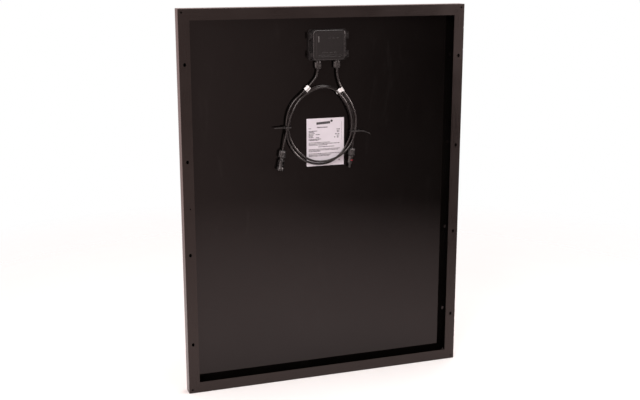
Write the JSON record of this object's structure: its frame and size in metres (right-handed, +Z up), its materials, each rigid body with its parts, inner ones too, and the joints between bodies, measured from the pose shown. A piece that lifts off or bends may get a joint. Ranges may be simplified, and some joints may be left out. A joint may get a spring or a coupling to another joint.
{
  "type": "solar panel",
  "caption": "Framed photovoltaic module with a black anodised mitred frame, black backsheet, junction box, looped output cables and plug-in connectors.",
  "frame": {"origin": "centre of the rear mounting plane, midway between the four corner holes", "axes": "+X right as seen from behind, +Z up along the long side, +Y from the rear flange towards the glass"},
  "size_m": [0.808, 0.035, 1.05],
  "materials": {
    "frame_anodised": "black anodised, satin",
    "key_aluminium": "mill finish",
    "sealant": "silicone, black",
    "solar_glass": "tempered, lightly textured",
    "encapsulant": "clear film",
    "silicon_cell": "anti-reflection coated silicon",
    "tinned_ribbon": "tinned copper",
    "backsheet_film": "glossy black film",
    "label_paper": "printed polyester",
    "box_plastic": "moulded, fine satin",
    "seal_rubber": "elastomer",
    "box_adhesive": "silicone",
    "plated_copper": "plated copper",
    "diode_epoxy": "moulded epoxy",
    "cable_jacket": "cross-linked jacket, satin",
    "tie_nylon": "nylon",
    "tag_tape": "white tape",
    "gland_plastic": "glass-filled nylon",
    "contact_metal": "tinned",
    "red_rubber": "red elastomer",
    "connector_plastic": "glass-filled nylon"
  },
  "bodies": {
    "module": {"backsheet": "backsheet_film", "bus_ribbons_bottom": "tinned_ribbon", "bus_ribbons_top": "tinned_ribbon", "bypass_diodes": "diode_epoxy", "cable_clamps": "plated_copper", "cable_cores": "plated_copper", "cable_left": "cable_jacket", "cable_right": "cable_jacket", "cable_tag_left": "tag_tape", "cable_tag_right": "tag_tape", "cable_tails": "cable_jacket", "cable_tie_left": "tie_nylon", "cable_tie_right": "tie_nylon", "cell_string_1": "silicon_cell", "cell_string_2": "silicon_cell", "cell_string_3": "silicon_cell", "cell_string_4": "silicon_cell", "cell_string_5": "silicon_cell", "cell_string_6": "silicon_cell", "connector_left_contact": "contact_metal", "connector_left_housing": "connector_plastic", "connector_left_seal": "seal_rubber", "connector_right_contact": "contact_metal", "connector_right_housing": "connector_plastic", "connector_right_o_ring": "red_rubber", "connector_right_seal": "seal_rubber", "corner_key_bottom_left": "key_aluminium", "corner_key_bottom_right": "key_aluminium", "corner_key_top_left": "key_aluminium", "corner_key_top_right": "key_aluminium", "encapsulant_front": "encapsulant", "encapsulant_rear": "encapsulant", "frame_rail_bottom": "frame_anodised", "frame_rail_left": "frame_anodised", "frame_rail_right": "frame_anodised", "frame_rail_top": "frame_anodised", "frame_sealant": "sealant", "front_glass": "solar_glass", "gland_seal_left": "seal_rubber", "gland_seal_right": "seal_rubber", "junction_box_adhesive": "box_adhesive", "junction_box_base": "box_plastic", "lid_seal": "seal_rubber", "output_ribbons": "tinned_ribbon", "rating_label": "label_paper", "string_ribbons_1": "tinned_ribbon", "string_ribbons_2": "tinned_ribbon", "string_ribbons_3": "tinned_ribbon", "string_ribbons_4": "tinned_ribbon", "string_ribbons_5": "tinned_ribbon", "string_ribbons_6": "tinned_ribbon", "terminal_carrier": "box_plastic", "terminal_plates": "plated_copper"},
    "lid": {"junction_box_lid": "box_plastic"},
    "gland_nut_left": {"gland_nut_left": "gland_plastic"},
    "gland_nut_right": {"gland_nut_right": "gland_plastic"},
    "connector_nut_left": {"connector_left_nut": "connector_plastic"},
    "connector_nut_right": {"connector_right_nut": "connector_plastic"}
  },
  "joints": [
    {"name": "lid_lift", "type": "slide", "parent": "module", "child": "lid", "axis": [0, -1, 0], "range_m": [0, 0.04]},
    {"name": "gland_nut_left_turn", "type": "hinge", "parent": "module", "child": "gland_nut_left", "pos_m": [-0.021, 0.0182, 0.3575], "axis": [0, 0, -1], "range_deg": [0, 360]},
    {"name": "gland_nut_right_turn", "type": "hinge", "parent": "module", "child": "gland_nut_right", "pos_m": [0.033, 0.0182, 0.3575], "axis": [0, 0, -1], "range_deg": [0, 360]},
    {"name": "connector_nut_left_turn", "type": "hinge", "parent": "module", "child": "connector_nut_left", "pos_m": [-0.123, 0.0165, 0.141], "axis": [0.153, 0, 0.9882], "range_deg": [0, 360]},
    {"name": "connector_nut_right_turn", "type": "hinge", "parent": "module", "child": "connector_nut_right", "pos_m": [0.079, 0.018, 0.1355], "axis": [0.1444, 0, 0.9895], "range_deg": [0, 360]}
  ]
}
